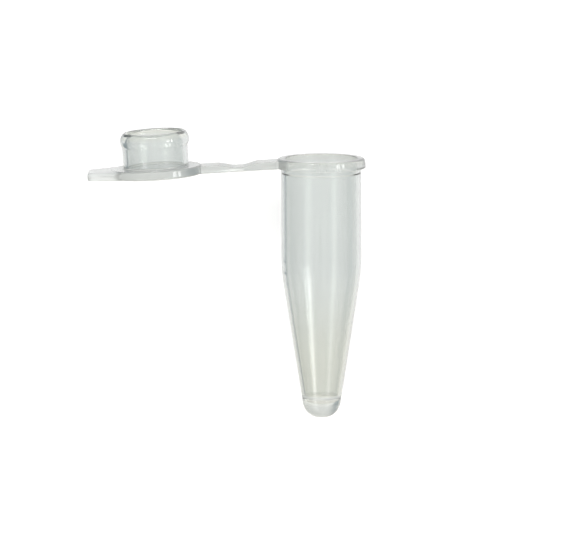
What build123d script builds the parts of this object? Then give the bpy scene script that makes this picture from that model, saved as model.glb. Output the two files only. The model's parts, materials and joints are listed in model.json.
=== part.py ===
from build123d import *
import math
import os

# A 0.2 ml reaction tube with its snap cap, moulded in one piece of clear polypropylene.
# The tube is drawn upright as it leaves the mould: axis on Z, mouth up at z = 0, cap towards
# -X on its strap. The cap and its half of the strap swing about the fold line over the
# strap's thin web. Last of all both pieces are laid down the way an open tube comes to rest
# on a table. Lengths are in millimetres, angles in degrees.

# Tube body
tube_length = 21.0  # from the rim to the foot of the rounded tip
body_r = 3.2  # outside of the straight upper body
body_wall = 0.34
shoulder_depth = 9.1  # from the rim to where the straight body turns into the cone
shoulder_blend = 12.0  # radius of that long soft bend
cone_wall = 0.31
tip_r = 1.33  # outside radius that the cone has at the foot, before it is rounded
gate_r = 0.2  # flat left at the very foot, where the plastic was injected
floor_thickness = 1.15  # solid plastic under the cavity
cavity_dome = 0.6  # height of the cavity's bowl-shaped end

# Rim and mouth
flange_overhang = 0.385  # how far the rim stands out from the body
flange_thickness = 0.8
flange_blend = 0.4  # rounding of the rim's upper outer edge
seat_taper = 0.6  # height of the slope between the wide mouth and the bore
lip_blend = 0.1  # rounding of the mouth's edge
edge_blend = 0.08  # rounding of the rim's lower edge

# Cap
disc_overhang = 0.165  # how far the disc stands out past the rim
disc_thickness = 0.7
disc_blend = 0.16
plug_wall = 0.38
plug_height = 2.84
plug_taper = 0.17  # the plug's end is this much slimmer than its side
bead_clearance = 0.085  # between the sealing bead and the bore
bead_rise = 0.155  # how far the bead stands out from the plug's side
bead_foot = 1.67  # from the disc's face to where the bead begins
bead_height = 2.2  # from the disc's face to the bead's widest line
closed_gap = 0.05  # between the rim and the disc when the cap is shut
swing_clearance = 0.07  # between the mouth and the bead as the cap swings in and out

# Thumb tab
tab_reach = 1.78  # beyond the disc's edge
tab_root = 5.2  # its width where it leaves the disc
tab_tip = 3.0  # its width at the end
tab_thickness = 0.64
tab_blend = 0.55

# Strap
strap_reach = 3.04  # from the rim's edge to the fold line
strap_width = 2.25
strap_thickness = 0.62  # at the humps on both sides of the web
strap_root = 0.35  # how far the strap runs on into the rim and into the disc
strap_droop = 3.3  # the open strap and cap hang down by this angle
web_thickness = 0.36
web_length = 0.7
tube_ramp = 1.2  # length of the slope from the web up to the hump, on the tube's side
cap_ramp = 1.3  # the same on the cap's side
ramp_blend = 0.9

# The cone, and the cavity inside it
cone_angle = math.atan2(body_r - tip_r, tube_length - shoulder_depth)
cone_wall_r = cone_wall / math.cos(cone_angle)
tip_blend = (tip_r - gate_r) * math.tan(math.pi / 4 + cone_angle / 2)
bore_r = body_r - body_wall
cavity_end = tube_length - floor_thickness - cavity_dome
cavity_end_r = tip_r + (tube_length - cavity_end) * math.tan(cone_angle) - cone_wall_r
bore_end = tube_length - (bore_r + cone_wall_r - tip_r) / math.tan(cone_angle)

# Rim, disc and plug follow the body and its bore
flange_r = body_r + flange_overhang
disc_r = flange_r + disc_overhang
bead_r = bore_r - bead_clearance
plug_r = bead_r - bead_rise
plug_end_r = plug_r - plug_taper
plug_bore_r = plug_r - plug_wall

# The fold line. Strap, rim and disc share one flat underside, and half a turn about the
# line, and the droop, bring the disc's face down to just above the rim, centred on the tube.
droop = math.radians(strap_droop)
rim_step = closed_gap + disc_thickness - flange_thickness
fold_rise = (strap_reach * math.sin(droop) + rim_step) / (1 + math.cos(droop))
fold_x = -flange_r - strap_reach * math.cos(droop) - fold_rise * math.sin(droop)
fold_z = fold_rise * math.cos(droop) - strap_reach * math.sin(droop)
strap_depth = flange_thickness + fold_rise  # the underside, below the fold line
cap_reach = -fold_x  # from the fold line to the cap's axis

# The bead's far side swings in on a circle about the fold line. The mouth stands back from
# that circle, down to where the circle has come half the bead's clearance inside the bore.
bead_swing = math.hypot(cap_reach + bead_r, bead_height - closed_gap + fold_z)
seat_r = bead_swing - cap_reach + swing_clearance
seat_end = math.sqrt(bead_swing**2 - (cap_reach + bore_r - bead_clearance / 2) ** 2) - fold_z
rim_blend = min(flange_blend, flange_r - seat_r - lip_blend)

# Side view of the strap, from the fold line towards the cap, and of the cap from its axis
strap_side = Plane(
    (fold_x, 0, fold_z), x_dir=(-math.cos(droop), 0, -math.sin(droop)), z_dir=(0, 1, 0)
)
cap_centre = strap_side.from_local_coords((cap_reach, disc_thickness - strap_depth))
cap_side = Plane(cap_centre, x_dir=strap_side.x_dir, z_dir=strap_side.z_dir)
cap_underside = cap_side.from_local_coords((0, -disc_thickness))
cap_base = Plane(cap_underside, x_dir=cap_side.x_dir, z_dir=cap_side.y_dir)


def strap_half(sign, ramp, reach):
    """Side view of one half of the strap, from the fold line to its root at reach."""
    web_top = web_thickness - strap_depth
    hump_top = strap_thickness - strap_depth
    with BuildSketch(strap_side) as half:
        with BuildLine():
            FilletPolyline(
                (0, web_top),
                (sign * web_length / 2, web_top),
                (sign * (web_length / 2 + ramp), hump_top),
                (sign * reach, hump_top),
                radius=ramp_blend,
            )
            Polyline(
                (sign * reach, hump_top),
                (sign * reach, -strap_depth),
                (0, -strap_depth),
                (0, web_top),
            )
        make_face()
    return half.sketch


# The tube: the solid outer form, its half of the strap, and then the cavity
with BuildPart() as tube:
    with BuildSketch(Plane.XZ):
        with BuildLine():
            FilletPolyline(
                (0, -tube_length),
                (tip_r, -tube_length),
                (body_r, -shoulder_depth),
                (body_r, -flange_thickness),
                (flange_r, -flange_thickness),
                (flange_r, 0),
                (0, 0),
                radius=(tip_blend, shoulder_blend, 0, edge_blend, rim_blend),
            )
            Line((0, 0), (0, -tube_length))
        make_face()
    revolve(axis=Axis.Z)
    extrude(strap_half(-1, tube_ramp, strap_reach + strap_root), amount=strap_width / 2, both=True)
    with BuildSketch(Plane.XZ):
        with BuildLine():
            TangentArc((0, -cavity_end - cavity_dome), (cavity_end_r, -cavity_end), tangent=(1, 0))
            FilletPolyline(
                (cavity_end_r, -cavity_end),
                (bore_r, -bore_end),
                (bore_r, -seat_end),
                radius=shoulder_blend,
            )
            Polyline(
                (bore_r, -seat_end),
                (seat_r, seat_taper - seat_end),
                (seat_r, 0),
                (0, 0),
                (0, -cavity_end - cavity_dome),
            )
        make_face()
    revolve(axis=Axis.Z, mode=Mode.SUBTRACT)
    rim_face = tube.faces().filter_by(Axis.Z).sort_by(Axis.Z)[-1]
    fillet(rim_face.edges().filter_by(GeomType.CIRCLE).sort_by(SortBy.RADIUS)[0], lip_blend)

# The cap: disc and plug in one turned form, the thumb tab, and its half of the strap
with BuildPart() as cap:
    with BuildSketch(cap_side):
        with BuildLine():
            FilletPolyline(
                (0, -disc_thickness),
                (disc_r, -disc_thickness),
                (disc_r, 0),
                (plug_r, 0),
                radius=disc_blend,
            )
            Line((plug_r, 0), (plug_r, bead_foot))
            ThreePointArc((plug_r, bead_foot), (bead_r, bead_height), (plug_end_r, plug_height))
            Polyline(
                (plug_end_r, plug_height),
                (plug_bore_r, plug_height),
                (plug_bore_r, 0),
                (0, 0),
                (0, -disc_thickness),
            )
        make_face()
    revolve(axis=Axis(cap_side.origin, cap_side.y_dir))
    tab_start = math.sqrt((disc_r - disc_blend) ** 2 - (tab_root / 2) ** 2)
    with BuildSketch(cap_base):
        with BuildLine():
            FilletPolyline(
                (tab_start, tab_root / 2),
                (disc_r + tab_reach, tab_tip / 2),
                (disc_r + tab_reach, -tab_tip / 2),
                (tab_start, -tab_root / 2),
                radius=tab_blend,
            )
            Line((tab_start, -tab_root / 2), (tab_start, tab_root / 2))
        make_face()
    extrude(amount=tab_thickness)
    extrude(strap_half(1, cap_ramp, cap_reach - disc_r + strap_root), amount=strap_width / 2, both=True)

# Lying open on a table, the part is held up at three rounded rings: the rim's lower edge,
# the long bend at the shoulder and the disc's lower edge. Each ring is given by the centre,
# axis and radius of the circle that its rounding runs round, and by the rounding itself.
rim_ring = (Vector(0, 0, edge_blend - flange_thickness), Vector(0, 0, 1), flange_r - edge_blend, edge_blend)
bend_centre = Vector(0, 0, shoulder_blend * math.tan(cone_angle / 2) - shoulder_depth)
bend_ring = (bend_centre, Vector(0, 0, 1), body_r - shoulder_blend, shoulder_blend)
disc_edge = cap_side.from_local_coords((0, disc_blend - disc_thickness))
disc_ring = (disc_edge, cap_side.y_dir, disc_r - disc_blend, disc_blend)


def lowest(ring, up):
    """The point of a rounded ring that lies lowest when up is up."""
    centre, axis, radius, rounding = ring
    outward = (up - axis * up.dot(axis)).normalized()
    return centre - outward * radius - up * rounding


settling_steps = 20
up = Vector(0, -1, 0)
for step in range(settling_steps):
    bend = lowest(bend_ring, up)
    up = (lowest(rim_ring, up) - bend).cross(lowest(disc_ring, up) - bend).normalized()

# The table's plane, with the tube's axis in its YZ plane, the mouth towards +Y and the cap
# towards -X. The origin is on the table, under the middle of the whole part.
table = Plane(lowest(bend_ring, up), x_dir=Vector(0, 0, 1).cross(up), z_dir=up)
tube.part.move(table.location.inverse())
cap.part.move(table.location.inverse())
middle = tube.part.bounding_box().add(cap.part.bounding_box()).center()
for piece in (tube.part, cap.part):
    piece.move(Location((-middle.X, -middle.Y, 0)))

tube.part.label = "tube"
cap.part.label = "cap"
os.makedirs("parts", exist_ok=True)
export_step(tube.part, "parts/tube.step")
export_step(cap.part, "parts/cap.step")
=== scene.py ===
"""An open reaction tube with its snap cap, dressed as one moulding of clear polypropylene.

The solids of the model are two rigid pieces that meet in the strap's web. Here they are one
unbroken, see-through moulding: the tube and the cap are turned from their half sections, the
strap and the thumb tab are lofted, and all four are fused. Sizes are in millimetres in the
mould's own frame: the tube's axis on Z with its mouth up at z = 0, and the cap on its strap
towards -X.
"""

import json
import logging
import math
from dataclasses import dataclass, field
from enum import Enum
from typing import Any, Sequence

import bmesh
import bpy
from mathutils import Matrix, Vector


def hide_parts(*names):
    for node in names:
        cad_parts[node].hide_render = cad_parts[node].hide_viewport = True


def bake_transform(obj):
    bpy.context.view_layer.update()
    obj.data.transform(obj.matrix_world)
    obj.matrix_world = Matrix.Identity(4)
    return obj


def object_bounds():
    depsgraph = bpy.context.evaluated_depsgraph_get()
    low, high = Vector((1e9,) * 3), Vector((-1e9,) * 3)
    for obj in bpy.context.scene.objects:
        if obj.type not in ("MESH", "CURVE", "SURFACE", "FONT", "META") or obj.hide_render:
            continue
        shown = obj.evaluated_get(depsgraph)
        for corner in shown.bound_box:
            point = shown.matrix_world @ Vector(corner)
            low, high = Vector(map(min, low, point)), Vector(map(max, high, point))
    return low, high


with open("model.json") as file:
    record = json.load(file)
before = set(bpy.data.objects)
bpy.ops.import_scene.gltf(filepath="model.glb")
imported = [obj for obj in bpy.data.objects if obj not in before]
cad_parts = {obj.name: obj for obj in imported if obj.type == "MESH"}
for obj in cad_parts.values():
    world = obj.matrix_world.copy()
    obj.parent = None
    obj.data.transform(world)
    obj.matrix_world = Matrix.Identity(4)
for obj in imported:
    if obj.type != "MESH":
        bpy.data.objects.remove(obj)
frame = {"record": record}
cad_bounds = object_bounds()

logging.basicConfig(level=logging.INFO, format="%(message)s")
log = logging.getLogger("reaction_tube")

MM = 0.001
COARSE_STEP = math.radians(15)
Point = tuple[float, float]
Span = tuple[float, float]
Corner = tuple[float, float, float]
Colour = tuple[float, float, float]
WHITE: Colour = (1, 1, 1)


class Ray(Enum):
    """The kinds of ray that the stage tells apart."""

    CAMERA = "Is Camera Ray"
    GLOSSY = "Is Glossy Ray"
    TRANSMISSION = "Is Transmission Ray"


class Blend(Enum):
    """How one colour joins another."""

    ADD = "ADD"
    OVER = "MIX"
    FILTER = "MULTIPLY"


# ---------------------------------------------------------------------------------------
# Node trees
# ---------------------------------------------------------------------------------------


@dataclass
class Wire:
    """A socket whose operators add Math nodes to its tree."""

    graph: "Graph"
    socket: bpy.types.NodeSocket

    def _maths(self, operation: str, *values: Any) -> "Wire":
        """The result of one Math node."""
        return self.graph.wire("ShaderNodeMath", {"operation": operation}, dict(enumerate(values)))

    def __add__(self, other: Any) -> "Wire":
        """self + other."""
        return self._maths("ADD", self, other)

    def __sub__(self, other: Any) -> "Wire":
        """self - other."""
        return self._maths("SUBTRACT", self, other)

    def __rsub__(self, other: Any) -> "Wire":
        """other - self."""
        return self._maths("SUBTRACT", other, self)

    def __mul__(self, other: Any) -> "Wire":
        """self * other."""
        return self._maths("MULTIPLY", self, other)

    def __truediv__(self, other: Any) -> "Wire":
        """self / other."""
        return self._maths("DIVIDE", self, other)

    def __neg__(self) -> "Wire":
        """-self."""
        return self._maths("MULTIPLY", self, -1.0)

    def at_most(self, other: Any) -> "Wire":
        """The smaller of self and other."""
        return self._maths("MINIMUM", self, other)

    def turn_from(self, other: Any) -> "Wire":
        """The angle whose sine goes as self and whose cosine goes as other."""
        return self._maths("ARCTAN2", self, other)

    def bell(self, centre: float, spread: float) -> "Wire":
        """A soft bump, 1 where self is at the centre and fading over the spread."""
        away = (self - centre) / spread
        return self._maths("EXPONENT", -(away * away))

    def ramp(self, start: float, end: float) -> "Wire":
        """A soft step, 0 at start and 1 at end."""
        span = {"Value": self, "From Min": start, "From Max": end}
        return self.graph.wire("ShaderNodeMapRange", {"interpolation_type": "SMOOTHSTEP"}, span)

    __radd__ = __add__
    __rmul__ = __mul__


class Graph:
    """A node tree, and the one way in which nodes are added to it."""

    def __init__(self, tree: bpy.types.NodeTree) -> None:
        """Starts on an empty tree.

        Args:
            tree: the tree that the nodes go into.
        """
        self.tree = tree
        tree.nodes.clear()

    def node(self, kind: str, settings: dict[str, Any] | None = None,
             inputs: dict[int | str, Any] | None = None) -> bpy.types.Node:
        """Adds one node.

        Args:
            kind: the node's type.
            settings: its own settings, set before the sockets. The stops of a colour ramp are
                given as "stops", a list of (place, grey value).
            inputs: a value, a Wire or a socket for each input, by index or name.

        Returns:
            The new node.
        """
        made = self.tree.nodes.new(kind)
        for name, value in (settings or {}).items():
            if name == "stops":
                self._set_stops(made.color_ramp, value)
            else:
                setattr(made, name, value)
        for name, value in (inputs or {}).items():
            socket = made.inputs[name]
            if isinstance(value, Wire):
                self.tree.links.new(value.socket, socket)
            elif isinstance(value, bpy.types.NodeSocket):
                self.tree.links.new(value, socket)
            else:
                socket.default_value = value
        return made

    def wire(self, kind: str, settings: dict[str, Any] | None = None,
             inputs: dict[int | str, Any] | None = None, output: int | str = 0) -> Wire:
        """Adds one node as node() does, and returns one of its outputs."""
        return Wire(self, self.node(kind, settings, inputs).outputs[output])

    def mix(self, factor: Any, first: Any, second: Any, blend: Blend = Blend.OVER) -> Wire:
        """Joins two colours with a Mix node.

        Args:
            factor: how much of the second colour there is.
            first: a colour, or a Wire that carries one.
            second: another.
            blend: how the second colour joins the first.

        Returns:
            The joined colour.
        """
        colours = [(*given, 1) if isinstance(given, tuple) else given for given in (first, second)]
        settings = {"data_type": "RGBA", "blend_type": blend.value}
        inputs = {"Factor": factor, 6: colours[0], 7: colours[1]}
        return self.wire("ShaderNodeMix", settings, inputs, 2)

    @staticmethod
    def _set_stops(ramp: bpy.types.ColorRamp, stops: Sequence[tuple[float, float]]) -> None:
        """Gives a colour ramp its stops.

        Args:
            ramp: the ramp.
            stops: (place, grey value) of each stop, in order.
        """
        while len(ramp.elements) > 1:
            ramp.elements.remove(ramp.elements[-1])
        for index, (place, value) in enumerate(stops):
            stop = ramp.elements[0] if index == 0 else ramp.elements.new(place)
            stop.position = place
            stop.color = (value, value, value, 1)


# ---------------------------------------------------------------------------------------
# The mould's frame
# ---------------------------------------------------------------------------------------


@dataclass(frozen=True)
class MouldFrame:
    """Where the mould's frame lies in the row's frame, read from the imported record."""

    origin: Vector
    side: Vector
    depth: Vector
    up: Vector
    fold: Vector
    droop: float

    @classmethod
    def from_record(cls, record: dict[str, Any], rim_thickness: float) -> "MouldFrame":
        """Finds the frame from the mouth, the rim and the cap's hinge.

        Args:
            record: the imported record.
            rim_thickness: from the rim's top down to its underside, in millimetres.

        Returns:
            The frame, in metres.
        """
        mounts = {mount["name"]: mount for mount in record["mounts"]}
        hinge = record["behaviour"]["joints"][0]
        up = Vector(mounts["mouth"]["axis"]).normalized()
        depth = Vector(hinge["axis"]).normalized()
        on_axis = Vector(mounts["mouth"]["pos_m"])
        underside = Vector(mounts["rim_shoulder"]["pos_m"])
        origin = on_axis + up * ((underside - on_axis).dot(up) + rim_thickness * MM)
        droop = math.radians(hinge["range_deg"][1] - 180)
        return cls(origin, depth.cross(up), depth, up, Vector(hinge["pos_m"]), droop)

    def matrix(self) -> Matrix:
        """From millimetres in the mould's frame to metres in the row's frame."""
        turn = Matrix((self.side, self.depth, self.up)).transposed().to_4x4()
        return Matrix.Translation(self.origin) @ turn @ Matrix.Scale(MM, 4)

    def fold_line(self) -> tuple[float, float]:
        """The fold line's x and z in the mould's frame, in millimetres."""
        offset = (self.fold - self.origin) / MM
        return offset.dot(self.side), offset.dot(self.up)


# ---------------------------------------------------------------------------------------
# Half sections
# ---------------------------------------------------------------------------------------


def rounded(corners: Sequence[Corner], step: float = math.radians(7)) -> list[Point]:
    """Rounds the corners of an open outline.

    Args:
        corners: (across, up, radius) of each corner, radius 0 where it stays sharp.
        step: the largest angle between two points of a rounding.

    Returns:
        The points of the rounded outline.
    """
    points: list[Point] = []
    for index, (x, y, radius) in enumerate(corners):
        here = Vector((x, y))
        if radius == 0 or index in (0, len(corners) - 1):
            points.append((x, y))
            continue
        back = (Vector(corners[index - 1][:2]) - here).normalized()
        on = (Vector(corners[index + 1][:2]) - here).normalized()
        half = back.angle(on) / 2
        centre = here + (back + on).normalized() * (radius / math.sin(half))
        start = here + back * (radius / math.tan(half)) - centre
        turn = math.pi - 2 * half
        if back.cross(on) > 0:
            turn = -turn
        count = max(2, math.ceil(abs(turn) / step))
        for part in range(count + 1):
            angle = turn * part / count
            cosine, sine = math.cos(angle), math.sin(angle)
            points.append((
                centre.x + start.x * cosine - start.y * sine,
                centre.y + start.x * sine + start.y * cosine,
            ))
    return points


def guarded(points: Sequence[Point], reach: float = 0.03) -> list[Point]:
    """Adds a point close to both ends of each long straight, which keeps its shading straight.

    Args:
        points: an open outline.
        reach: how far the added points stand from the ends.

    Returns:
        The outline with the added points.
    """
    kept = [points[0]]
    for (x, y), (next_x, next_y) in zip(points, points[1:]):
        length = math.hypot(next_x - x, next_y - y)
        if length > 4 * reach:
            for share in (reach / length, 1 - reach / length):
                kept.append((x + (next_x - x) * share, y + (next_y - y) * share))
        kept.append((next_x, next_y))
    return kept


def arc_through(start: Point, middle: Point, end: Point, count: int) -> list[Point]:
    """Divides the arc through three points.

    Args:
        start: where the arc begins.
        middle: a point on the way.
        end: where it ends.
        count: into how many parts it is divided.

    Returns:
        The points between the parts and the end, without the start.
    """
    a, b, c = Vector(start), Vector(middle), Vector(end)
    d = 2 * (a.x * (b.y - c.y) + b.x * (c.y - a.y) + c.x * (a.y - b.y))
    squares = a.length_squared, b.length_squared, c.length_squared
    centre = Vector((
        (squares[0] * (b.y - c.y) + squares[1] * (c.y - a.y) + squares[2] * (a.y - b.y)) / d,
        (squares[0] * (c.x - b.x) + squares[1] * (a.x - c.x) + squares[2] * (b.x - a.x)) / d,
    ))
    first = a - centre
    turn = -first.angle_signed(b - centre) - (b - centre).angle_signed(c - centre)
    points = []
    for part in range(1, count + 1):
        angle = turn * part / count
        cosine, sine = math.cos(angle), math.sin(angle)
        points.append((
            centre.x + first.x * cosine - first.y * sine,
            centre.y + first.x * sine + first.y * cosine,
        ))
    return points


@dataclass(frozen=True)
class TubeForm:
    """The turned part of the tube: thin body, cone, rim and cavity."""

    length: float = 21.0
    body_r: float = 3.2
    body_wall: float = 0.34
    shoulder: float = 9.1
    shoulder_blend: float = 12.0
    cone_wall: float = 0.31
    tip_r: float = 1.33
    gate_r: float = 0.2
    floor: float = 1.15
    dome: float = 0.6
    dome_blend: float = 0.2
    dome_parts: int = 4
    dome_softness: float = 0.9
    rim_overhang: float = 0.385
    rim_thickness: float = 0.8
    rim_blend: float = 0.22
    rim_crease: float = 0.46
    rim_draft: float = 0.09
    mouth_r: float = 2.89
    mouth_end: float = 1.25
    mouth_taper: float = 0.1
    mouth_blend: float = 0.08
    lip_blend: float = 0.1
    edge_blend: float = 0.08

    @property
    def rim_r(self) -> float:
        """Outside of the rim."""
        return self.body_r + self.rim_overhang

    @property
    def cone_angle(self) -> float:
        """Half the cone's opening angle."""
        return math.atan2(self.body_r - self.tip_r, self.length - self.shoulder)

    def section(self) -> list[Point]:
        """Draws the half section.

        Returns:
            Its points, from the foot on the axis round to the cavity's floor on the axis.
        """
        slope = math.tan(self.cone_angle)
        wall = self.cone_wall / math.cos(self.cone_angle)
        bore_r = self.body_r - self.body_wall
        bore_end = self.length - (bore_r + wall - self.tip_r) / slope
        dome_top = self.length - self.floor - self.dome
        dome_r = self.tip_r + (self.length - dome_top) * slope - wall
        tip_blend = (self.tip_r - self.gate_r) * math.tan(math.pi / 4 + self.cone_angle / 2)
        radius = (dome_r**2 + self.dome**2) / (2 * self.dome)
        half = math.asin(dome_r / radius) / 2
        foot = -dome_top - self.dome
        halfway = (radius * math.sin(half), foot + radius * (1 - math.cos(half)))
        bowl = arc_through((dome_r, -dome_top), halfway, (0, foot), self.dome_parts)
        outline = rounded([
            (0, -self.length, 0),
            (self.tip_r, -self.length, tip_blend),
            (self.body_r, -self.shoulder, self.shoulder_blend),
            (self.body_r, -self.rim_thickness, self.edge_blend),
            (self.rim_r, -self.rim_thickness, self.edge_blend),
            (self.rim_r, -self.rim_crease, 0),
            (self.rim_r - self.rim_draft, 0, self.rim_blend),
            (self.mouth_r, 0, self.lip_blend),
            (self.mouth_r, self.mouth_taper - self.mouth_end, self.mouth_blend),
            (bore_r, -self.mouth_end, self.mouth_blend),
            (bore_r, -bore_end, self.shoulder_blend),
            (dome_r, -dome_top, self.dome_blend),
            *((x, z, self.dome_softness) for x, z in bowl),
        ])
        return guarded(outline)


@dataclass(frozen=True)
class CapForm:
    """The turned part of the cap: disc, hollow plug and sealing bead, with the plug up."""

    disc_r: float = 3.75
    disc_thickness: float = 0.7
    disc_blend: float = 0.16
    disc_draft: float = 0.08
    plug_r: float = 2.62
    plug_wall: float = 0.38
    plug_height: float = 2.84
    plug_end_r: float = 2.45
    plug_blend: float = 0.12
    bead_r: float = 2.775
    bead_foot: float = 1.67
    bead_height: float = 2.2
    bead_parts: int = 14
    end_blend: float = 0.16

    def section(self) -> list[Point]:
        """Draws the half section.

        Returns:
            Its points, from the disc's underside on the axis round to its face inside the plug.
        """
        hollow_r = self.plug_r - self.plug_wall
        outside = rounded([
            (0, -self.disc_thickness, 0),
            (self.disc_r, -self.disc_thickness, self.disc_blend),
            (self.disc_r - self.disc_draft, 0, self.disc_blend),
            (self.plug_r, 0, self.plug_blend),
            (self.plug_r, self.bead_foot, 0),
        ])
        bead = arc_through(
            (self.plug_r, self.bead_foot),
            (self.bead_r, self.bead_height),
            (self.plug_end_r, self.plug_height),
            self.bead_parts,
        )
        inside = rounded([
            (self.plug_end_r, self.plug_height, 0),
            (hollow_r, self.plug_height, self.end_blend),
            (hollow_r, 0, self.plug_blend),
            (0, 0, 0),
        ])
        return guarded(outside + bead + inside[1:])


# ---------------------------------------------------------------------------------------
# Strap and thumb tab
# ---------------------------------------------------------------------------------------


def lofted(name: str, rings: Sequence[Sequence[Vector]]) -> bpy.types.Object:
    """A closed skin through rings of points, capped at both ends.

    Args:
        name: the object's name.
        rings: rings with as many points each, in order.

    Returns:
        The new object, linked to the scene.
    """
    skin = bmesh.new()
    rows = [[skin.verts.new(point) for point in ring] for ring in rings]
    count = len(rows[0])
    for near, far in zip(rows, rows[1:]):
        for k in range(count):
            skin.faces.new((near[k], near[(k + 1) % count], far[(k + 1) % count], far[k]))
    skin.faces.new(rows[0])
    skin.faces.new(rows[-1])
    bmesh.ops.recalc_face_normals(skin, faces=skin.faces)
    mesh = bpy.data.meshes.new(name)
    skin.to_mesh(mesh)
    skin.free()
    made = bpy.data.objects.new(name, mesh)
    bpy.context.scene.collection.objects.link(made)
    return made


def smooth_ramp(value: float, start: float, end: float) -> float:
    """0 before start, 1 after end, and a soft S between them."""
    share = min(max((value - start) / (end - start), 0), 1)
    return share * share * (3 - 2 * share)


@dataclass(frozen=True)
class StrapForm:
    """The strap, lofted in one length from the rim to the disc.

    Its rings leave a gap at the fold line. The rings beside the gap lean away from it, so that a
    closed fold would keep a wall.
    """

    width: float = 2.25
    thickness: float = 0.62
    web_thickness: float = 0.36
    web_length: float = 0.7
    tube_ramp: float = 1.2
    cap_ramp: float = 1.3
    ramp_softness: float = 0.3
    root: float = 0.35
    edge_blend: float = 0.09
    spacing: float = 0.08
    fold_gap: float = 0.04
    fold_wall: float = 0.31
    lean_reach: float = 0.9
    lift: float = 0.004

    def thickness_at(self, along: float) -> float:
        """Finds the strap's thickness.

        Args:
            along: the distance from the fold line, positive towards the cap.

        Returns:
            The thickness there.
        """
        ramp = self.cap_ramp if along > 0 else self.tube_ramp
        start = self.web_length / 2
        soft = self.ramp_softness / 2
        rise = smooth_ramp(abs(along), start - soft, start + ramp + soft)
        return self.web_thickness + (self.thickness - self.web_thickness) * rise

    def ring(self, along: float, base: float) -> list[Vector]:
        """The cross-section at a distance from the fold line, with rounded edges.

        Args:
            along: where the ring has its foot, positive towards the cap.
            base: the underside's height over the fold line, below zero.

        Returns:
            The ring's points.
        """
        lean = self.fold_wall * max(1 - (abs(along) - self.fold_gap) / self.lean_reach, 0)
        lean = math.copysign(lean, along)
        thickness, half, blend = self.thickness_at(along + lean), self.width / 2, self.edge_blend
        top = base + thickness
        ring = guarded(rounded([
            (0, base, 0),
            (half, base, blend),
            (half, top, blend),
            (-half, top, blend),
            (-half, base, blend),
            (0, base, 0),
        ], COARSE_STEP))
        return [Vector((along + lean * (z - base) / thickness, y, z)) for y, z in ring[:-1]]

    def feet(self, reach: float) -> list[float]:
        """The rings' distances from the fold line on one side, out to reach."""
        count = math.ceil((reach - self.fold_gap) / self.spacing)
        return [self.fold_gap + (reach - self.fold_gap) * step / count for step in range(count + 1)]

    def build(self, near: float, far: float, base: float) -> bpy.types.Object:
        """Lofts the strap.

        Args:
            near: how far it reaches from the fold line towards the tube.
            far: how far it reaches towards the cap.
            base: the underside's height over the fold line, below zero.

        Returns:
            The strap, with the fold line at its origin and X towards the cap.
        """
        feet = [-foot for foot in reversed(self.feet(near))] + self.feet(far)
        return lofted("strap", [self.ring(foot, base + self.lift) for foot in feet])


@dataclass(frozen=True)
class TabForm:
    """The thumb tab at the disc's far edge."""

    reach: float = 1.78
    root: float = 5.2
    tip: float = 3.0
    thickness: float = 0.64
    corner_blend: float = 0.55
    foot_blend: float = 0.1
    top_blend: float = 0.22
    flat: float = 0.1
    lift: float = 0.004

    def outline(self, disc_r: float, disc_blend: float, inset: float) -> list[Point]:
        """Draws the tab's outline from above.

        Args:
            disc_r: the disc's radius.
            disc_blend: the rounding of the disc's edges.
            inset: how far the outline is drawn in on its free sides.

        Returns:
            The outline's points, from the disc round to the disc.
        """
        start = math.sqrt((disc_r - disc_blend) ** 2 - (self.root / 2) ** 2)
        end = disc_r + self.reach
        slope = (self.root - self.tip) / 2 / (end - start)
        shift = inset * math.hypot(1, slope)
        root, tip = self.root / 2 - shift, self.tip / 2 + inset * slope - shift
        end -= inset
        blend = self.corner_blend - inset
        corners = [(start, -root, 0), (end, -tip, blend), (end, tip, blend), (start, root, 0)]
        return guarded(rounded(corners))

    def build(self, disc_r: float, disc_blend: float) -> bpy.types.Object:
        """Lofts the tab upwards from its underside, with rounded edges.

        Args:
            disc_r: the disc's radius.
            disc_blend: the rounding of the disc's edges.

        Returns:
            The tab, with its underside at z = 0 under the cap's axis and X away from the strap.
        """
        edge = guarded(rounded([
            (self.foot_blend + self.flat, 0, 0),
            (0, 0, self.foot_blend),
            (0, self.thickness, self.top_blend),
            (self.top_blend + self.flat, self.thickness, 0),
        ], COARSE_STEP))
        rings = []
        for inset, level in edge:
            outline = self.outline(disc_r, disc_blend, inset)
            rings.append([Vector((x, y, level + self.lift)) for x, y in outline])
        return lofted("thumb_tab", rings)


# ---------------------------------------------------------------------------------------
# The moulding
# ---------------------------------------------------------------------------------------


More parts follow.
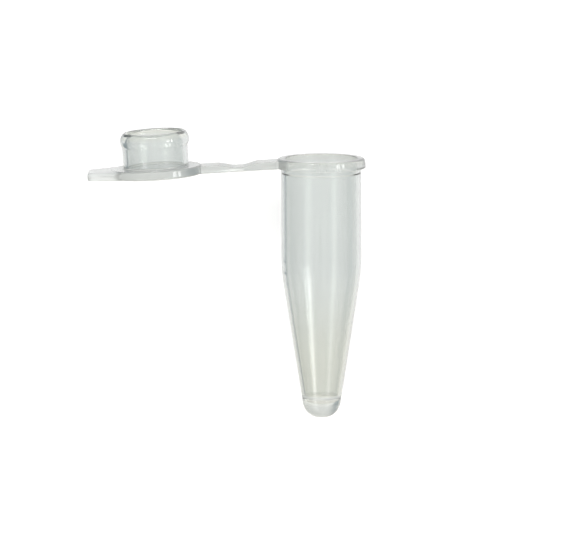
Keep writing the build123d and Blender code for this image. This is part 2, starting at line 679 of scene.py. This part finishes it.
def turning_tree() -> tuple[bpy.types.GeometryNodeTree, dict[str, str]]:
    """Builds the node tree that turns a half section about Z.

    Returns:
        The tree, and the identifier of each of its inputs by name.
    """
    tree = bpy.data.node_groups.new("turned_form", "GeometryNodeTree")
    graph = Graph(tree)
    tree.interface.new_socket("Geometry", in_out="OUTPUT", socket_type="NodeSocketGeometry")
    names = {
        "Section": "NodeSocketObject",
        "Segments": "NodeSocketInt",
        "Carrier Radius": "NodeSocketFloat",
        "Pole Merge": "NodeSocketFloat",
        "Finish": "NodeSocketMaterial",
    }
    sockets = {
        name: tree.interface.new_socket(name, in_out="INPUT", socket_type=kind).identifier
        for name, kind in names.items()
    }
    given = graph.node("NodeGroupInput")
    section = graph.wire("GeometryNodeObjectInfo", {"transform_space": "ORIGINAL"},
                         {"Object": given.outputs["Section"]}, "Geometry")
    carrier = graph.wire("GeometryNodeCurvePrimitiveCircle", {"mode": "RADIUS"}, {
        "Resolution": given.outputs["Segments"],
        "Radius": given.outputs["Carrier Radius"],
    })
    upright = graph.wire("GeometryNodeSetCurveNormal", {"mode": "Z_UP"}, {"Curve": carrier})
    turned = graph.wire("GeometryNodeCurveToMesh", None, {
        "Curve": upright, "Profile Curve": section,
    })
    closed = graph.wire("GeometryNodeMergeByDistance", None, {
        "Geometry": turned, "Distance": given.outputs["Pole Merge"],
    })
    real = graph.wire("GeometryNodeRealizeInstances", None, {"Geometry": closed})
    dressed = graph.wire("GeometryNodeSetMaterial", None, {
        "Geometry": real, "Material": given.outputs["Finish"],
    })
    graph.node("NodeGroupOutput", None, {"Geometry": dressed})
    return tree, sockets


def plain_mesh(made: bpy.types.Object, name: str) -> bpy.types.Mesh:
    """Applies an object's modifiers and removes them.

    Args:
        made: the object.
        name: the new mesh's name.

    Returns:
        The resulting mesh, not yet in any object.
    """
    evaluated = made.evaluated_get(bpy.context.evaluated_depsgraph_get())
    mesh = bpy.data.meshes.new_from_object(evaluated)
    mesh.name = name
    made.modifiers.clear()
    return mesh


@dataclass
class Moulding:
    """The whole moulding, fused from its turned and lofted parts."""

    mould: MouldFrame
    tube: TubeForm
    cap: CapForm
    strap: StrapForm
    tab: TabForm
    segments: int = 256
    carrier_r: float = 1.0
    pole_merge: float = 1e-4
    bend_reach: float = 0.03
    crease: float = math.radians(30)
    rim_depth: float = 0.45
    rim_depth_from_to: Span = (-0.86, -0.78)
    foot_depth_from_to: Span = (-0.3, 0.4)
    root_from_to: Span = (2.6, 3.0)
    root_height_from_to: Span = (-0.9, -0.8)
    helpers: list[bpy.types.Object] = field(default_factory=list)

    def turned(self, name: str, section: Sequence[Point],
               finish: bpy.types.Material) -> bpy.types.Object:
        """Turns a half section about Z with the node tree.

        Args:
            name: the new object's name.
            section: the half section, from axis to axis.
            finish: the material that the surface gets.

        Returns:
            A closed mesh object with outward faces.
        """
        curve = bpy.data.curves.new(name + "_section", "CURVE")
        curve.dimensions = "3D"
        spline = curve.splines.new("POLY")
        spline.points.add(len(section) - 1)
        for point, (r, z) in zip(spline.points, section):
            point.co = (r - self.carrier_r, -z, 0, 1)
        holder = self._linked(bpy.data.objects.new(curve.name, curve))
        made = self._linked(bpy.data.objects.new(name, bpy.data.meshes.new(name)))
        tree, sockets = turning_tree()
        modifier = made.modifiers.new("turned form", "NODES")
        modifier.node_group = tree
        modifier[sockets["Section"]] = holder
        modifier[sockets["Segments"]] = self.segments
        modifier[sockets["Carrier Radius"]] = self.carrier_r
        modifier[sockets["Pole Merge"]] = self.pole_merge
        modifier[sockets["Finish"]] = finish
        made.data = plain_mesh(made, name)
        skin = bmesh.new()
        skin.from_mesh(made.data)
        bmesh.ops.recalc_face_normals(skin, faces=skin.faces)
        skin.to_mesh(made.data)
        skin.free()
        return made

    def _linked(self, made: bpy.types.Object) -> bpy.types.Object:
        """Links a helper object, which build() removes at the end.

        Args:
            made: the helper.

        Returns:
            The same object.
        """
        bpy.context.scene.collection.objects.link(made)
        self.helpers.append(made)
        return made

    def build(self, finish: bpy.types.Material) -> bpy.types.Object:
        """Makes and fuses the parts, and sets the result in the row's frame.

        Args:
            finish: the moulding's material.

        Returns:
            The moulding, one closed mesh.
        """
        fold_x, fold_z = self.mould.fold_line()
        reach = -fold_x
        strap_base = -(self.tube.rim_thickness + self._fold_rise(fold_x, fold_z))
        lean = Matrix.Translation((fold_x, 0, fold_z)) @ self._lean()

        tube = self.turned("tube_form", self.tube.section(), finish)
        cap = self.turned("cap_form", self.cap.section(), finish)
        cap_place = lean @ Matrix.Translation((reach, 0, strap_base + self.cap.disc_thickness))
        cap.data.transform(cap_place)
        near = -fold_x - self.tube.rim_r + self.strap.root
        far = reach - self.cap.disc_r + self.strap.root
        strap = self.strap.build(near, far, strap_base)
        strap.data.transform(lean)
        tab = self.tab.build(self.cap.disc_r, self.cap.disc_blend)
        tab.data.transform(lean @ Matrix.Translation((reach, 0, strap_base)))
        self.helpers += [strap, tab]
        for part in (cap, strap, tab):
            fuse = tube.modifiers.new(part.name, "BOOLEAN")
            fuse.operation = "UNION"
            fuse.solver = "MANIFOLD"
            fuse.object = part
        mesh = plain_mesh(tube, "moulding")
        self._mark(mesh, cap_place.inverted())
        mesh.transform(self.mould.matrix())
        mesh.shade_smooth()
        mesh.set_sharp_from_angle(angle=self.crease)
        moulding = bpy.data.objects.new("moulding", mesh)
        bpy.context.scene.collection.objects.link(moulding)
        mesh.materials.clear()
        mesh.materials.append(finish)
        for helper in self.helpers:
            bpy.data.objects.remove(helper)
        log.info("moulding: %d vertices, %d faces", len(mesh.vertices), len(mesh.polygons))
        return moulding

    def _mark(self, mesh: bpy.types.Mesh, to_cap: Matrix) -> None:
        """Notes on every point where it lies in the mould and how thick and milky it is there.

        Args:
            mesh: the moulding's mesh, still in the mould's frame.
            to_cap: from the mould's frame to the cap's, whose disc has its face at z = 0.
        """
        # A new attribute moves the older ones, so both are there before either is kept.
        for name, kind in (("place", "FLOAT_VECTOR"), ("depth", "FLOAT")):
            mesh.attributes.new(name, kind, "POINT")
        places, depths = mesh.attributes["place"], mesh.attributes["depth"]
        for index, vertex in enumerate(mesh.vertices):
            places.data[index].vector = vertex.co
            depths.data[index].value = self._depth(vertex.co, to_cap)

    def _depth(self, place: Vector, to_cap: Matrix) -> float:
        """How thick and milky the moulding is at a place.

        Args:
            place: a point in the mould's frame.
            to_cap: from the mould's frame to the cap's.

        Returns:
            About 0 in the thin walls and 1 in the thick regions.
        """
        if place.x < -self.tube.rim_r:
            return 1 - smooth_ramp((to_cap @ place).z, 0.0, self.cap.plug_blend)
        floor = self.tube.length - self.tube.floor
        rim = smooth_ramp(place.z, *self.rim_depth_from_to) * self.rim_depth
        foot = smooth_ramp(-place.z, *(floor + step for step in self.foot_depth_from_to))
        root = smooth_ramp(-place.x, *self.root_from_to)
        return rim + foot + root * smooth_ramp(place.z, *self.root_height_from_to)

    def _fold_rise(self, fold_x: float, fold_z: float) -> float:
        """How far the fold line lies over the line of the strap through the rim's top edge."""
        sine, cosine = math.sin(self.mould.droop), math.cos(self.mould.droop)
        return (fold_x + self.tube.rim_r) * -sine + fold_z * cosine

    def _lean(self) -> Matrix:
        """Turns X to the strap's drooping line, away from the tube, and keeps Z up.

        Returns:
            The turn.
        """
        sine, cosine = math.sin(self.mould.droop), math.cos(self.mould.droop)
        along, over = Vector((-cosine, 0, -sine)), Vector((-sine, 0, cosine))
        return Matrix((along, Vector((0, -1, 0)), over)).transposed().to_4x4()

    def attach(self, moulding: bpy.types.Object) -> None:
        """Bakes the moulding's place into its mesh and hides the imported tube and cap. The ends of
        the bend about the fold line are worked out but not used, and the moulding does not bend.

        Args:
            moulding: the finished moulding.
        """
        sine, cosine = math.sin(self.mould.droop), math.cos(self.mould.droop)
        along = self.mould.side * -cosine + self.mould.up * -sine
        start = self.mould.fold - along * self.bend_reach * MM
        end = self.mould.fold + along * self.bend_reach * MM
        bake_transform(moulding)
        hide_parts("tube", "cap")


# ---------------------------------------------------------------------------------------
# Finish
# ---------------------------------------------------------------------------------------


@dataclass(frozen=True)
class ClearPolypropylene:
    """Natural polypropylene: clear, glossy as moulded, and milkier where it is thick.

    Faint flow lines run along the tube, the way the plastic filled the mould. A thin ring round
    the tube under the rim is tinted white and kept clear: a painted highlight line.
    """

    colour: Colour = (0.838, 0.862, 0.855)
    warm_colour: Colour = (0.85, 0.858, 0.8)
    warm_from_to: Span = (-9.5, -17.5)
    thick_colour: Colour = (0.53, 0.545, 0.53)
    tab_clearness: float = 0.6
    tab_from_to: Span = (-15.9, -16.7)
    tube_from_to: Span = (-3.6, -3.3)
    # Height and spread of a painted highlight line round the tube, under the rim.
    light_ring_height: float = -1.17
    light_ring_spread: float = 0.06
    milk_colour: Colour = (0.74, 0.765, 0.745)
    thick_milk_colour: Colour = (0.62, 0.645, 0.63)
    satin_colour: Colour = (0.665, 0.685, 0.675)
    milk: float = 0.2
    milk_per_depth: float = 0.22
    tab_milk: float = 0.36
    edge_milk: float = 0.42
    cavity_edge: float = -19.27
    edge_spread: float = 0.12
    flow_colour: Colour = (0.962, 0.97, 0.966)
    flow_from_to: Span = (0.35, 0.65)
    flow_scale: tuple[float, float, float] = (1.6, 1.6, 0.12)
    flow_detail: float = 3.0
    flow_roughness: float = 0.03
    roughness: float = 0.05
    ior: float = 1.49
    absorbed: Colour = (0.86, 0.90, 0.84)
    absorption: float = 50.0

    def material(self) -> bpy.types.Material:
        """Builds the material.

        Returns:
            Clear plastic with a share of milky plastic on its outward faces.
        """
        made = bpy.data.materials.new("natural_polypropylene")
        made.use_nodes = True
        graph = Graph(made.node_tree)
        depth = graph.wire("ShaderNodeAttribute", {"attribute_name": "depth"}, None, "Fac")
        place = graph.wire("ShaderNodeAttribute", {"attribute_name": "place"}, None, "Vector")
        parts = graph.node("ShaderNodeSeparateXYZ", None, {"Vector": place})
        along, height = Wire(graph, parts.outputs["X"]), Wire(graph, parts.outputs["Z"])
        tab = along.ramp(*self.tab_from_to)
        edge = height.bell(self.cavity_edge, self.edge_spread)
        on_tube = along.ramp(*self.tube_from_to)
        # Painted highlight: a thin ring under the rim, whiter and clear, where the mouth's step
        # catches light.
        painted_light_ring = height.bell(self.light_ring_height, self.light_ring_spread) * on_tube
        flow = self._flow(graph, place)
        gloss = flow * self.flow_roughness + (self.roughness - self.flow_roughness / 2)

        tint = graph.mix(height.ramp(*self.warm_from_to), self.colour, self.warm_colour)
        tint = graph.mix(flow.ramp(*self.flow_from_to), tint, self.flow_colour, Blend.FILTER)
        thick = (depth * (1 - tab * self.tab_clearness)).at_most(1.0)
        tint = graph.mix(painted_light_ring, graph.mix(thick, tint, self.thick_colour), WHITE)
        clear = graph.wire("ShaderNodeBsdfPrincipled", None, {
            "Base Color": tint, "Roughness": gloss, "IOR": self.ior, "Transmission Weight": 1.0,
        })
        satin = graph.mix(depth.at_most(1.0), self.milk_colour, self.thick_milk_colour)
        satin = graph.mix((tab + edge).at_most(1.0), satin, self.satin_colour)
        milky = graph.wire("ShaderNodeBsdfPrincipled", None, {
            "Base Color": satin, "Roughness": gloss, "IOR": self.ior,
        })
        inside = graph.wire("ShaderNodeNewGeometry", None, None, "Backfacing")
        haze = depth * self.milk_per_depth + self.milk + tab * self.tab_milk + edge * self.edge_milk
        # The painted highlight ring is kept clear, without milk.
        haze = haze * (1 - inside) * (1 - painted_light_ring)
        surface = graph.wire("ShaderNodeMixShader", None, {0: haze, 1: clear, 2: milky})
        body = graph.wire("ShaderNodeVolumeAbsorption", None, {
            "Color": (*self.absorbed, 1), "Density": self.absorption,
        })
        graph.node("ShaderNodeOutputMaterial", None, {"Surface": surface, "Volume": body})
        return made

    def _flow(self, graph: Graph, place: Wire) -> Wire:
        """Adds the faint flow lines.

        Args:
            graph: the material's graph.
            place: the place in the mould's frame.

        Returns:
            A noise that is drawn out along the tube, about 0.5 in the mean.
        """
        drawn = graph.wire("ShaderNodeVectorMath", {"operation": "MULTIPLY"}, {
            0: place, 1: self.flow_scale,
        })
        return graph.wire("ShaderNodeTexNoise", None, {
            "Vector": drawn, "Scale": 1.0, "Detail": self.flow_detail,
        })


# ---------------------------------------------------------------------------------------
# Stage
# ---------------------------------------------------------------------------------------


@dataclass(frozen=True)
class Glow:
    """A soft upright region of the room, light or dark, by its direction round the tube's axis.

    Its strength sets in where a direction's rise along the axis goes from fades_at to full_at.
    """

    azimuth: float
    spread: float
    fades_at: float
    full_at: float
    colour: Colour
    blend: Blend


@dataclass(frozen=True)
class Panel:
    """A soft light panel, by its direction from the object."""

    name: str
    azimuth: float
    elevation: float
    width: float
    height: float
    power: float
    distance: float = 0.35


@dataclass
class Studio:
    """A pale floor, soft light and the camera."""

    mould: MouldFrame
    view_elevation: float = 7.5
    view_roll: float = 0.2
    view_width: float = 45.4
    view_distance: float = 600.0
    centre_across: float = -3.05
    centre_up: float = -9.31
    sensor: float = 36.0
    near_clip: float = 0.001
    floor_half: float = 1.5
    floor_colour: Colour = (0.62, 0.62, 0.62)
    floor_glow: float = 0.5
    sweep: tuple[Span, ...] = (
        (0.0, 0.95), (0.17, 0.92), (0.3, 0.72), (0.5, 0.4), (0.65, 0.5), (0.82, 0.76), (1.0, 0.82),
    )
    table: Colour = (0.97, 0.95, 0.88)
    table_from_to: Span = (-0.08, -0.4)
    ceiling: Colour = (0.95, 0.95, 0.95)
    ceiling_from_to: Span = (0.2, 0.6)
    glows: tuple[Glow, ...] = (
        Glow(-41, 11, 0.1, -0.45, (2.9, 2.9, 2.9), Blend.ADD),
        Glow(39, 10, 0.15, -0.35, (1.4, 1.4, 1.4), Blend.ADD),
        Glow(92, 10, 0.9, 0.2, (0.08, 0.11, 0.13), Blend.OVER),
        Glow(-98, 10, 0.9, 0.2, (0.08, 0.09, 0.09), Blend.OVER),
        Glow(-132, 8, 1.5, 0.95, (0.12, 0.17, 0.19), Blend.OVER),
        Glow(-139, 17, -0.16, 0.0, (0.04, 0.11, 0.15), Blend.OVER),
    )
    panels: tuple[Panel, ...] = (
        Panel("window_near_pane", 45, 9, 0.062, 0.15, 0.2),
        Panel("window_far_pane", 59, 9, 0.042, 0.15, 0.16),
        Panel("window_high", -18, 46, 0.16, 0.05, 0.3),
    )

    def view_axes(self) -> tuple[Vector, Vector, Vector]:
        """Works out how the camera is turned.

        Returns:
            The camera's right, up and backward directions.
        """
        angle, roll = math.radians(self.view_elevation), math.radians(self.view_roll)
        back = self.mould.up * math.sin(angle) - self.mould.depth * math.cos(angle)
        up = self.mould.up * math.cos(angle) + self.mould.depth * math.sin(angle)
        right = self.mould.side * math.cos(roll) - up * math.sin(roll)
        return right, back.cross(right), back

    def camera(self) -> None:
        """Looks down on the lying tube so that it stands upright in the picture."""
        right, up, back = self.view_axes()
        target = self.mould.origin + (right * self.centre_across + up * self.centre_up) * MM
        data = bpy.data.cameras.new("camera")
        data.sensor_width = self.sensor
        data.lens = self.sensor * self.view_distance / self.view_width
        data.clip_start = self.near_clip
        made = bpy.data.objects.new("camera", data)
        turn = Matrix((right, up, back)).transposed().to_4x4()
        made.matrix_world = Matrix.Translation(target + back * self.view_distance * MM) @ turn
        bpy.context.scene.collection.objects.link(made)
        bpy.context.scene.camera = made

    def floor(self) -> None:
        """A pale floor, which see-through and mirrored rays pass on their way to the world."""
        half = self.floor_half
        corners = [(-half, -half, 0), (half, -half, 0), (half, half, 0), (-half, half, 0)]
        mesh = bpy.data.meshes.new("floor")
        mesh.from_pydata(corners, [], [(0, 1, 2, 3)])
        made = bpy.data.objects.new("floor", mesh)
        bpy.context.scene.collection.objects.link(made)
        finish = bpy.data.materials.new("pale_floor")
        finish.use_nodes = True
        graph = Graph(finish.node_tree)
        path = graph.node("ShaderNodeLightPath")
        seen, mirrored, through = (Wire(graph, path.outputs[ray.value]) for ray in Ray)
        passing = (mirrored + through).at_most(1.0)
        paper = graph.wire("ShaderNodeBsdfDiffuse", None, {"Color": (*self.floor_colour, 1)})
        glow = graph.wire("ShaderNodeEmission", None, {
            "Color": (*WHITE, 1), "Strength": seen * self.floor_glow,
        })
        lit = graph.wire("ShaderNodeAddShader", None, {0: paper, 1: glow})
        clear = graph.wire("ShaderNodeBsdfTransparent")
        both = graph.wire("ShaderNodeMixShader", None, {0: passing, 1: lit, 2: clear})
        graph.node("ShaderNodeOutputMaterial", None, {"Surface": both})
        mesh.materials.append(finish)

    def world(self) -> None:
        """White to the camera, and a plain room to all else.

        The room is a sweep, light behind the object and in front of it and dimmer at its sides,
        over a pale table and under a pale ceiling. Two light glows and four dark ones stand
        before it.
        """
        made = bpy.data.worlds.new("studio")
        made.use_nodes = True
        graph = Graph(made.node_tree)
        direction = graph.node("ShaderNodeTexCoord").outputs["Generated"]

        def towards(axis: Vector) -> Wire:
            """How far a direction points along an axis."""
            inputs = {0: direction, 1: axis}
            return graph.wire("ShaderNodeVectorMath", {"operation": "DOT_PRODUCT"}, inputs, "Value")

        front, across = towards(-self.mould.depth), towards(self.mould.side)
        height, azimuth = towards(self.mould.up), across.turn_from(front)
        light = graph.wire("ShaderNodeValToRGB", {"stops": self.sweep}, {0: front * 0.5 + 0.5})
        light = graph.mix(height.ramp(*self.table_from_to), light, self.table)
        light = graph.mix(height.ramp(*self.ceiling_from_to), light, self.ceiling)
        for glow in self.glows:
            lobe = azimuth.bell(math.radians(glow.azimuth), math.radians(glow.spread))
            reach = height.ramp(glow.fades_at, glow.full_at)
            light = graph.mix(lobe * reach, light, glow.colour, glow.blend)
        from_camera = graph.node("ShaderNodeLightPath").outputs[Ray.CAMERA.value]
        seen = graph.mix(from_camera, light, WHITE)
        background = graph.wire("ShaderNodeBackground", None, {"Color": seen, "Strength": 1.0})
        graph.node("ShaderNodeOutputWorld", None, {"Surface": background})
        bpy.context.scene.world = made

    def lamps(self) -> None:
        """Hangs the light panels, each facing the object."""
        right, up, back = self.view_axes()
        lows, highs = (Vector(corner) for corner in cad_bounds)
        centre = (lows + highs) / 2
        for panel in self.panels:
            azimuth, elevation = math.radians(panel.azimuth), math.radians(panel.elevation)
            level = back * math.cos(azimuth) + right * math.sin(azimuth)
            towards = level * math.cos(elevation) + up * math.sin(elevation)
            data = bpy.data.lights.new(panel.name, "AREA")
            data.shape = "RECTANGLE"
            data.size, data.size_y = panel.width, panel.height
            data.energy = panel.power
            made = bpy.data.objects.new(panel.name, data)
            sideways = up.cross(towards).normalized()
            turn = Matrix((sideways, towards.cross(sideways), towards)).transposed().to_4x4()
            made.matrix_world = Matrix.Translation(centre + towards * panel.distance) @ turn
            made.visible_camera = False
            bpy.context.scene.collection.objects.link(made)

    def build(self) -> None:
        """Sets the whole stage."""
        self.floor()
        self.world()
        self.lamps()
        self.camera()
        bpy.context.scene.view_settings.view_transform = "Standard"
        log.info("stage: floor, world, %d lamps and the camera", len(self.panels))


def main() -> None:
    """Builds the moulding and its stage."""
    tube = TubeForm()
    mould = MouldFrame.from_record(frame["record"], tube.rim_thickness)
    moulding = Moulding(mould, tube, CapForm(), StrapForm(), TabForm())
    piece = moulding.build(ClearPolypropylene().material())
    moulding.attach(piece)
    Studio(mould).build()


if __name__ == "__main__":
    main()
